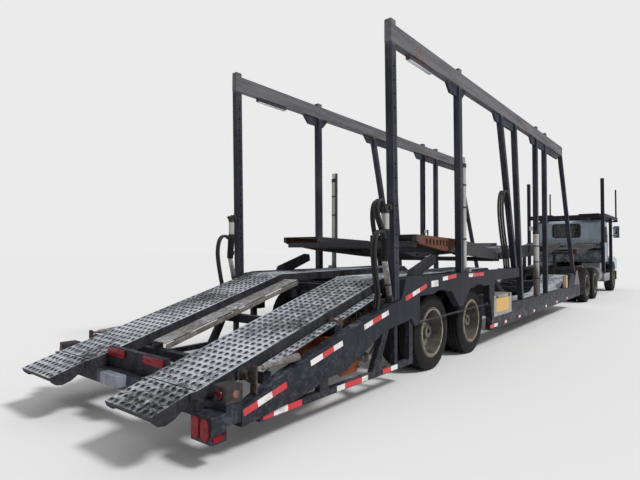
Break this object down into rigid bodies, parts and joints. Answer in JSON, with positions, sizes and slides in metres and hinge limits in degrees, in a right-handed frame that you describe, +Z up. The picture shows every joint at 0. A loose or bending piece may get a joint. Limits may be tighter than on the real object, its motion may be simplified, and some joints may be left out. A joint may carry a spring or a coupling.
{
  "type": "car transporter truck",
  "caption": "Articulated car transporter: tractor with headrack, stinger-hinged trailer with post frames, lifting decks, runways and folding ramp flaps.",
  "frame": {"origin": "on the ground under the middle of the whole rig's box", "axes": "+X forward, +Y to the vehicle's left, +Z up"},
  "size_m": [20.22, 2.9, 3.95],
  "materials": {
    "frame_paint": "worn dark blue-grey paint",
    "deck_paint": "scuffed dark paint with rust",
    "rust_paint": "rusted paint",
    "cab_paint": "pale paint",
    "chassis_steel": "matte dark paint",
    "cylinder_paint": "pale grey paint",
    "chrome_rod": "ground rod",
    "tyre": "worn tread",
    "wheel_paint": "dirty cream paint",
    "cast": "raw casting",
    "tank": "brushed",
    "glass": "tinted",
    "lens_red": "ribbed lens",
    "lens_clear": "clear lens",
    "trim": "grained",
    "rubber": "matte hose",
    "box_paint": "dirty pale grey"
  },
  "bodies": {
    "tractor": {"chassis": "chassis_steel", "cab_shell": "cab_paint", "cab_glass": "glass", "cab_interior": "trim", "engine": "cast", "fuel_tanks": "tank", "bumper": "trim", "front_axle": "cast", "drive_axles": "cast", "headrack_frame": "frame_paint", "deck_supports": "chassis_steel"},
    "hood": {"hood": "cab_paint", "headlamps": "lens_clear"},
    "headrack_deck": {"headrack_deck": "deck_paint"},
    "tractor_deck": {"tractor_deck": "deck_paint"},
    "trailer": {"side_frames": "frame_paint", "runways": "deck_paint", "cross_members": "frame_paint", "tail_lamps": "lens_red", "post_frames": "frame_paint", "lift_barrels": "cylinder_paint", "trailer_axles": "cast", "tool_box": "box_paint", "air_tank": "rust_paint", "loading_skid": "cylinder_paint", "lift_hoses": "rubber", "winch_bar": "cast"},
    "deck_rear": {"deck_rear": "deck_paint", "lift_rods_rear": "chrome_rod"},
    "deck_front": {"deck_front": "deck_paint", "lift_rods_front": "chrome_rod"},
    "door_left": {"door_left": "cab_paint", "door_glass_left": "glass"},
    "knuckle_left": {"knuckle_left": "cast"},
    "steer_wheel_left": {"steer_tyre_left": "tyre", "steer_rim_left": "wheel_paint"},
    "drive_rear_wheel_left": {"drive_rear_wheel_left_tyres": "tyre", "drive_rear_wheel_left_rims": "wheel_paint"},
    "drive_front_wheel_left": {"drive_front_wheel_left_tyres": "tyre", "drive_front_wheel_left_rims": "wheel_paint"},
    "trailer_rear_wheel_left": {"trailer_rear_wheel_left_tyres": "tyre", "trailer_rear_wheel_left_rims": "wheel_paint"},
    "trailer_front_wheel_left": {"trailer_front_wheel_left_tyres": "tyre", "trailer_front_wheel_left_rims": "wheel_paint"},
    "ramp_flap_left": {"ramp_flap_left": "deck_paint"},
    "door_right": {"door_right": "cab_paint", "door_glass_right": "glass"},
    "knuckle_right": {"knuckle_right": "cast"},
    "steer_wheel_right": {"steer_tyre_right": "tyre", "steer_rim_right": "wheel_paint"},
    "drive_rear_wheel_right": {"drive_rear_wheel_right_tyres": "tyre", "drive_rear_wheel_right_rims": "wheel_paint"},
    "drive_front_wheel_right": {"drive_front_wheel_right_tyres": "tyre", "drive_front_wheel_right_rims": "wheel_paint"},
    "trailer_rear_wheel_right": {"trailer_rear_wheel_right_tyres": "tyre", "trailer_rear_wheel_right_rims": "wheel_paint"},
    "trailer_front_wheel_right": {"trailer_front_wheel_right_tyres": "tyre", "trailer_front_wheel_right_rims": "wheel_paint"},
    "ramp_flap_right": {"ramp_flap_right": "deck_paint"}
  },
  "joints": [
    {"name": "articulation", "type": "hinge", "parent": "tractor", "child": "trailer", "pos_m": [2.69, 0, 0.57], "axis": [0, 0, 1], "range_deg": [-40, 40]},
    {"name": "hood_tilt", "type": "hinge", "parent": "tractor", "child": "hood", "pos_m": [9.96, 0, 0.84], "axis": [0, 1, 0], "range_deg": [0, 65]},
    {"name": "headrack_deck_tilt", "type": "hinge", "parent": "tractor", "child": "headrack_deck", "pos_m": [6.85, 0, 2.72], "axis": [0, -1, 0], "range_deg": [0, 12]},
    {"name": "tractor_deck_tilt", "type": "hinge", "parent": "tractor", "child": "tractor_deck", "pos_m": [6.61, 0, 1.7], "axis": [0, 1, 0], "range_deg": [0, 8]},
    {"name": "deck_rear_lift", "type": "slide", "parent": "trailer", "child": "deck_rear", "axis": [0, 0, 1], "range_m": [0, 1.3]},
    {"name": "deck_front_lift", "type": "slide", "parent": "trailer", "child": "deck_front", "axis": [0, 0, 1], "range_m": [0, 1.3]},
    {"name": "door_left_swing", "type": "hinge", "parent": "tractor", "child": "door_left", "pos_m": [8.347, 1.0945, 1.7], "axis": [0, 0, -1], "range_deg": [0, 70]},
    {"name": "steer_left", "type": "hinge", "parent": "tractor", "child": "knuckle_left", "pos_m": [9.04, 0.93, 0.5], "axis": [0, 0, 1], "range_deg": [-35, 35]},
    {"name": "steer_wheel_left_spin", "type": "hinge", "parent": "knuckle_left", "child": "steer_wheel_left", "pos_m": [9.04, 1.05, 0.5], "axis": [0, 1, 0], "continuous": true},
    {"name": "drive_rear_wheel_left_spin", "type": "hinge", "parent": "tractor", "child": "drive_rear_wheel_left", "pos_m": [3.84, 0.9175, 0.48], "axis": [0, 1, 0], "continuous": true},
    {"name": "drive_front_wheel_left_spin", "type": "hinge", "parent": "tractor", "child": "drive_front_wheel_left", "pos_m": [5.14, 0.9175, 0.48], "axis": [0, 1, 0], "continuous": true},
    {"name": "trailer_rear_wheel_left_spin", "type": "hinge", "parent": "trailer", "child": "trailer_rear_wheel_left", "pos_m": [-6.26, 0.9175, 0.465], "axis": [0, 1, 0], "continuous": true},
    {"name": "trailer_front_wheel_left_spin", "type": "hinge", "parent": "trailer", "child": "trailer_front_wheel_left", "pos_m": [-4.99, 0.9175, 0.465], "axis": [0, 1, 0], "continuous": true},
    {"name": "ramp_flap_left_fold", "type": "hinge", "parent": "trailer", "child": "ramp_flap_left", "pos_m": [-9.73, 0.7625, 0.486], "axis": [0, 1, 0], "range_deg": [0, 100]},
    {"name": "door_right_swing", "type": "hinge", "parent": "tractor", "child": "door_right", "pos_m": [8.347, -1.0945, 1.7], "axis": [0, 0, 1], "range_deg": [0, 70]},
    {"name": "steer_right", "type": "hinge", "parent": "tractor", "child": "knuckle_right", "pos_m": [9.04, -0.93, 0.5], "axis": [0, 0, 1], "range_deg": [-35, 35]},
    {"name": "steer_wheel_right_spin", "type": "hinge", "parent": "knuckle_right", "child": "steer_wheel_right", "pos_m": [9.04, -1.05, 0.5], "axis": [0, 1, 0], "continuous": true},
    {"name": "drive_rear_wheel_right_spin", "type": "hinge", "parent": "tractor", "child": "drive_rear_wheel_right", "pos_m": [3.84, -0.9175, 0.48], "axis": [0, 1, 0], "continuous": true},
    {"name": "drive_front_wheel_right_spin", "type": "hinge", "parent": "tractor", "child": "drive_front_wheel_right", "pos_m": [5.14, -0.9175, 0.48], "axis": [0, 1, 0], "continuous": true},
    {"name": "trailer_rear_wheel_right_spin", "type": "hinge", "parent": "trailer", "child": "trailer_rear_wheel_right", "pos_m": [-6.26, -0.9175, 0.465], "axis": [0, 1, 0], "continuous": true},
    {"name": "trailer_front_wheel_right_spin", "type": "hinge", "parent": "trailer", "child": "trailer_front_wheel_right", "pos_m": [-4.99, -0.9175, 0.465], "axis": [0, 1, 0], "continuous": true},
    {"name": "ramp_flap_right_fold", "type": "hinge", "parent": "trailer", "child": "ramp_flap_right", "pos_m": [-9.73, -0.7625, 0.486], "axis": [0, 1, 0], "range_deg": [0, 100]}
  ],
  "couplings": [
    {"joint": "steer_right", "follows": "steer_left", "ratio": 1}
  ]
}
